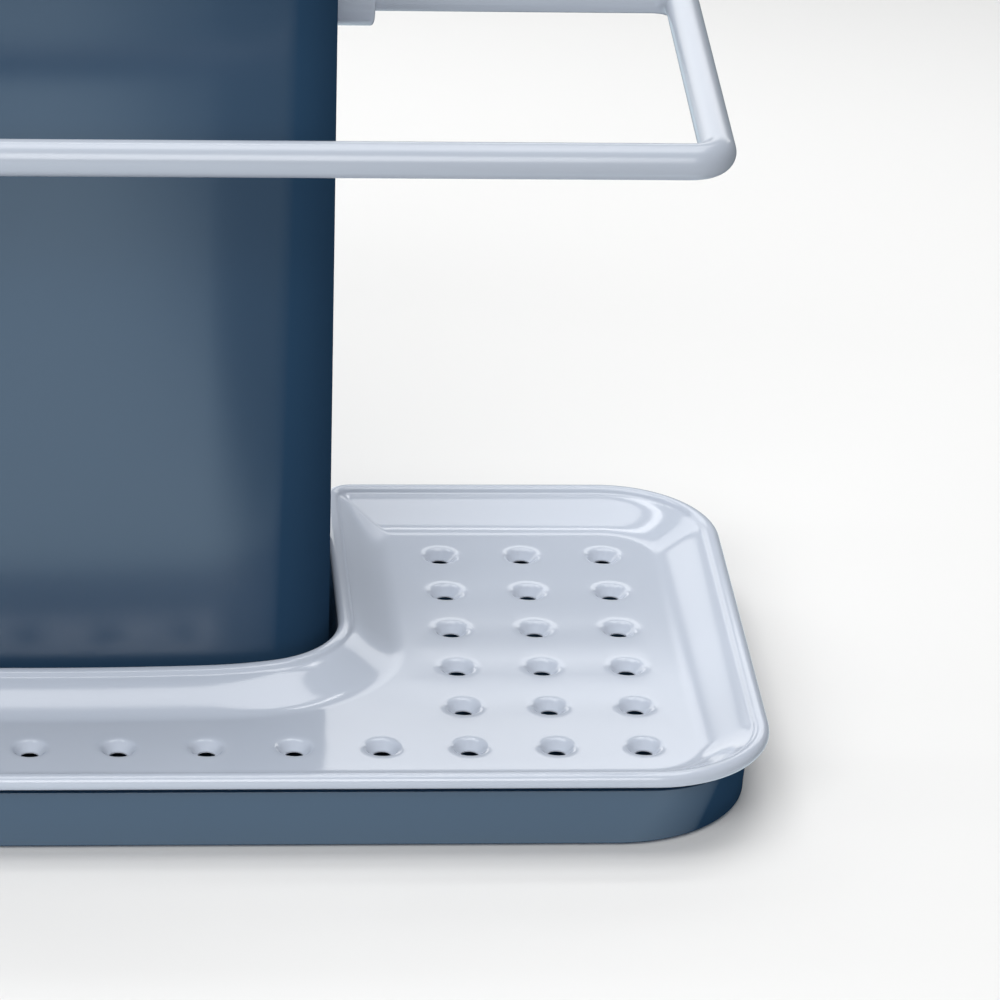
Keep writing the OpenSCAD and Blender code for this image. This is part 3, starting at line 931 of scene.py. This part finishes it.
@dataclass
class Liner:
    """Drop-in cup of the container, with its divider."""

    plan: ContainerPlan
    floor_z: float = 8.5
    top: float = 160.8
    flange: float = 1.8
    wall: float = 1.6
    top_inset: float = 4.447
    floor_inset: float = 6.228
    flange_inset: float = 1.247
    hole: float = 2.5
    hole_pitch: float = 14.0
    divider_x: float = -14.0
    divider_t: float = 2.0
    groove: Point = (2.0, 1.6)
    groove_depth: float = 3.0
    groove_drop: float = 10.0
    play: float = 0.4
    divider_y: Point = (-9.61, 53.31)
    divider_z: Point = (10.5, 152.6)
    slot: Point = (28.0, 14.0)
    slot_drop: float = 9.0

    def build(self, satin: bpy.types.Material, plate: bpy.types.Material) -> None:
        """Builds the cup and the divider.

        Args:
            satin: Finish of the cup.
            plate: Finish of the divider.
        """
        self.cup(satin)
        self.divider(plate)

    def cup(self, material: bpy.types.Material) -> None:
        """Builds the cup with its flange, drain holes and grooves."""
        reach = self.floor_inset + self.wall + 4
        lip = self.top + self.flange
        section = rounded_section(
            [(reach, self.floor_z, 0), (self.floor_inset, self.floor_z, 2.2), (self.top_inset, self.top, 0.3),
             (self.flange_inset, self.top, 0.3), (self.flange_inset, lip, 0.8),
             (self.top_inset + self.wall, lip, 0.9),
             (self.floor_inset + self.wall, self.floor_z + self.wall, 1.6),
             (reach, self.floor_z + self.wall, 0)], closed=False, steps=5)
        shape = Shape()
        shape.sweep(self.plan.loop().stations, {Edge.OUTER: section})
        row_gap = (self.divider_y[1] - self.divider_y[0] + 2 * self.play) / 4
        low, high = self.floor_z, self.floor_z + self.wall
        holes = [(self.divider_x + column * self.hole_pitch, self.divider_y[0] - self.play + row * row_gap, 0)
                 for column in (-2, -1, 1, 2, 3, 4) for row in (1, 2, 3)]
        shape.lathe(holes, [(self.hole + 0.4, high), (self.hole + 0.1, high - 0.08), (self.hole, high - 0.4),
                            (self.hole, low)], 24)
        shape.cover(high)
        shape.cover(low, up=False)
        half, sink = self.groove[1] / 2, 0.4
        front, rear = self.divider_y[0] - self.play, self.divider_y[1] + self.play
        foot, head = high - sink, self.top - self.groove_drop
        for side in (-1, 1):
            x = self.divider_x + side * self.groove[0]
            for low_y, high_y in ((front - self.wall, front + self.groove_depth),
                                  (rear - self.groove_depth, rear + self.wall)):
                shape.block((x - half, low_y, foot), (x + half, high_y, head), 0.4)
        shape.finish("liner_cup", "liner", ("liner",), "liner_satin", material)

    def divider(self, material: bpy.types.Material) -> None:
        """Builds the divider with its finger slot, drawn flat and then stood up."""
        size = (self.divider_y[1] - self.divider_y[0], self.divider_z[1] - self.divider_z[0])
        t, reach = self.divider_t, 2.0
        section = rounded_section([(reach, 0, 0), (0, 0, 0.7), (0, t, 0.7), (reach, t, 0)], closed=False)
        shape = Shape()
        shape.sweep(rounded_outline(size, (0, 0), 6.0, 10).stations, {Edge.OUTER: section})
        middle = (0.0, size[1] / 2 - self.slot_drop - self.slot[1] / 2)
        slot = rounded_outline(self.slot, middle, self.slot[1] / 2 - 0.001, 14, side=Side.OUT).stations
        shape.sweep(slot, {Edge.OUTER: section})
        shape.cover(0, up=False)
        shape.cover(t)
        stand = Matrix(((0, 0, 1, self.divider_x - t / 2), (1, 0, 0, sum(self.divider_y) / 2),
                        (0, 1, 0, sum(self.divider_z) / 2), (0, 0, 0, 1)))
        shape.turn(stand)
        shape.finish("divider_plate", "divider", ("divider",), "divider_satin", material)


# Studio ---------------------------------------------------------------------------------------


@dataclass(frozen=True)
class Softbox:
    """Flat soft light that faces the object. Its azimuth runs clockwise from the rear, in degrees."""

    name: str
    azimuth: float
    elevation: float
    distance: float
    size: Point
    level: float

    def hang(self, aim: Vector) -> None:
        """Adds the light.

        Args:
            aim: Point that it faces, in metres.
        """
        turn, rise = math.radians(self.azimuth), math.radians(self.elevation)
        way = Vector((math.sin(turn) * math.cos(rise), math.cos(turn) * math.cos(rise), math.sin(rise)))
        data = bpy.data.lights.new(self.name, "AREA")
        data.shape, data.size, data.size_y = "RECTANGLE", *self.size
        data.energy = self.level * math.pi * self.size[0] * self.size[1]
        lamp = bpy.data.objects.new(self.name, data)
        place = aim + way * self.distance
        lamp.matrix_world = Matrix.Translation(place) @ way.to_track_quat("Z", "Y").to_matrix().to_4x4()
        bpy.context.scene.collection.objects.link(lamp)


@dataclass
class Studio:
    """Floor, light and camera."""

    focal: float = 196.29
    sensor: float = 36.0
    eye: Place = (-1.295, -1003.12, 518.88)
    pitch: float = 0.43910856
    yaw: float = 0.09636412
    roll: float = 0.04195342
    floor_half: float = 20.0
    floor_colour: Colour = (0.77, 0.77, 0.766)
    sky: float = 0.12
    # Painted reflection: the patch of floor that glows for glossy rays, its edges in metres and its
    # brightness inside and outside.
    painted_reflection_x: Point = (0.056, 0.12)
    painted_reflection_near_x: Point = (0.13, 0.2)
    painted_reflection_near_y: Point = (0.105, 0.125)
    painted_reflection_level: Point = (1.01, 0.2)
    aim: Place = (0.05, 0.0, 0.015)
    boxes: tuple[Softbox, ...] = (Softbox("rear_box", 0, 34.3, 0.507, (0.9, 0.13), 2.3),
                                  Softbox("rim_box", 0, 62, 0.8, (0.7, 0.1), 6.5),
                                  Softbox("top_box", 0, 87, 0.8, (0.7, 0.42), 4.0),
                                  Softbox("front_box", 195, 36, 0.9, (0.85, 0.45), 5.4),
                                  Softbox("left_box", -26, 11.5, 0.8, (0.8, 0.3), 1.75))

    def build(self) -> None:
        """Sets up the whole studio."""
        self.camera()
        self.floor()
        self.world()
        for box in self.boxes:
            box.hang(Vector(self.aim))
        bpy.context.scene.view_settings.view_transform = "Standard"

    def camera(self) -> None:
        """Places the camera at the viewing angle of the photograph."""
        sin_p, cos_p, sin_y, cos_y = (math.sin(self.pitch), math.cos(self.pitch), math.sin(self.yaw),
                                      math.cos(self.yaw))
        ahead = Vector((sin_y * cos_p, cos_y * cos_p, -sin_p))
        level = Vector((cos_y, -sin_y, 0))
        above = level.cross(ahead)
        right = math.cos(self.roll) * level + math.sin(self.roll) * above
        up = math.cos(self.roll) * above - math.sin(self.roll) * level
        data = bpy.data.cameras.new("camera")
        data.lens, data.sensor_width = self.focal, self.sensor
        data.clip_start, data.clip_end = 0.05, 100.0
        camera = bpy.data.objects.new("camera", data)
        turn = Matrix((right, up, -ahead)).transposed().to_4x4()
        camera.matrix_world = Matrix.Translation(Vector(self.eye) * MM) @ turn
        bpy.context.scene.collection.objects.link(camera)
        bpy.context.scene.camera = camera

    def floor(self) -> None:
        """Lays the pale floor, with a painted reflection: a patch of it glows, seen by glossy rays only."""
        bm = bmesh.new()
        bmesh.ops.create_grid(bm, x_segments=1, y_segments=1, size=self.floor_half)
        mesh = bpy.data.meshes.new("floor")
        bm.to_mesh(mesh)
        bm.free()
        made = bpy.data.materials.new("floor_paper")
        made.use_nodes = True
        tree = made.node_tree
        shader = tree.nodes["Principled BSDF"]
        shader.inputs["Base Color"].default_value = (*self.floor_colour, 1)
        shader.inputs["Roughness"].default_value = 1.0
        shader.inputs["Specular IOR Level"].default_value = 0.0
        paper = node(tree, "TexNoise", Scale=900.0, Detail=2.0)
        bump = node(tree, "Bump", Strength=0.05, Distance=0.0002)
        link(tree, (paper.outputs["Fac"], bump.inputs["Height"]),
             (bump.outputs["Normal"], shader.inputs["Normal"]))
        mesh.materials.append(made)
        floor = bpy.data.objects.new("floor", mesh)
        bpy.context.scene.collection.objects.link(floor)
        self.paint_reflection(tree, shader)

    def paint_reflection(self, tree: bpy.types.NodeTree, shader: bpy.types.Node) -> None:
        """Paints a reflection: a patch of the floor near the object glows for glossy rays only, so polished
        surfaces show a painted highlight.

        Args:
            tree: Tree of the floor's material.
            shader: Its own shader.
        """
        place = node(tree, "TexCoord").outputs["Object"]
        split = node(tree, "SeparateXYZ")
        link(tree, (place, split.inputs["Vector"]))
        masks = []
        for axis, (start, end) in (("X", self.painted_reflection_x), ("X", self.painted_reflection_near_x), ("Y", self.painted_reflection_near_y)):
            size = node(tree, "Math", operation="ABSOLUTE")
            ramp = node(tree, "MapRange", interpolation_type="SMOOTHSTEP", From_Min=start, From_Max=end,
                        To_Min=1.0, To_Max=0.0)
            link(tree, (split.outputs[axis], size.inputs[0]), (size.outputs[0], ramp.inputs["Value"]))
            masks.append(ramp.outputs["Result"])
        near = node(tree, "Math", operation="MULTIPLY")
        either = node(tree, "Math", operation="MAXIMUM")
        link(tree, (masks[1], near.inputs[0]), (masks[2], near.inputs[1]), (masks[0], either.inputs[0]),
             (near.outputs[0], either.inputs[1]))
        # Bluish glow of the painted reflection.
        reflection_glow = node(tree, "Emission", Color=(0.84, 1.02, 1.13, 1.0))
        level = node(tree, "Math", operation="MULTIPLY_ADD")
        level.inputs[1].default_value, level.inputs[2].default_value = self.painted_reflection_level
        # Only glossy rays see the painted glow; the camera and diffuse light see the plain floor.
        choose = node(tree, "MixShader")
        rays = node(tree, "LightPath")
        output = tree.nodes["Material Output"]
        link(tree, (either.outputs[0], level.inputs[0]), (level.outputs[0], reflection_glow.inputs["Strength"]),
             (rays.outputs["Is Glossy Ray"], choose.inputs["Fac"]), (shader.outputs[0], choose.inputs[1]),
             (reflection_glow.outputs[0], choose.inputs[2]), (choose.outputs[0], output.inputs["Surface"]))

    def world(self) -> None:
        """Lights the whole studio from a dim pale sky."""
        world = bpy.data.worlds.new("studio")
        bpy.context.scene.world = world
        world.use_nodes = True
        backdrop = world.node_tree.nodes["Background"]
        backdrop.inputs["Color"].default_value = (0.98, 0.99, 1.0, 1.0)
        backdrop.inputs["Strength"].default_value = self.sky


# Both slate finishes lose their reflection side-on, which paints shade on the sides and corners of the base
# and the sleeve.
SLATE = Plastic("slate_gloss_plastic", (0.0195, 0.051, 0.1), (0.021, 0.0535, 0.104), 0.13, level=0.8,
                edge_shade_level=0.0, turn=(0.18, 0.5))
SLEEVE = Plastic("slate_sleeve_plastic", (0.0185, 0.0475, 0.092), (0.02, 0.05, 0.096), 0.2, level=0.96,
                 edge_shade_level=0.0)
PALE = Plastic("pale_gloss_plastic", (0.458, 0.505, 0.587), (0.47, 0.515, 0.596), 0.09)
# Painted shade: the rail takes the pale plastic darkened, standing in for the shade on its front and
# underside.
SHADED_RAIL = Plastic("pale_rail_shaded_plastic", (0.368, 0.407, 0.473), (0.378, 0.415, 0.48), 0.2, grain=0.03)
SATIN = Plastic("pale_satin_plastic", (0.43, 0.475, 0.555), (0.442, 0.485, 0.563), 0.17, rubbing=0.12,
                ripple=0.02, grain=0.16, grain_scale=2600.0)
RUBBER = Plastic("dark_rubber", (0.03, 0.031, 0.034), (0.05, 0.05, 0.052), 0.7, rubbing=0.2, ripple=0.05,
                 grain=0.5, grain_scale=3200.0, level=0.3)


def main() -> None:
    """Builds every piece in order, then the studio."""
    logging.basicConfig(level=logging.INFO, format="%(message)s")
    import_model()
    skin = moulded_group()
    slate, sleeve, pale, rail, satin, rubber = (finish.build(skin) for finish in
                                                (SLATE, SLEEVE, PALE, SHADED_RAIL, SATIN, RUBBER))
    plan = ContainerPlan()
    BaseTray(plan).build(slate, rubber)
    DrainTray(plan).build(pale)
    Container(plan).build(sleeve, rail, satin)
    Liner(plan).build(satin, satin)
    Studio().build()


if __name__ == "__main__":
    main()
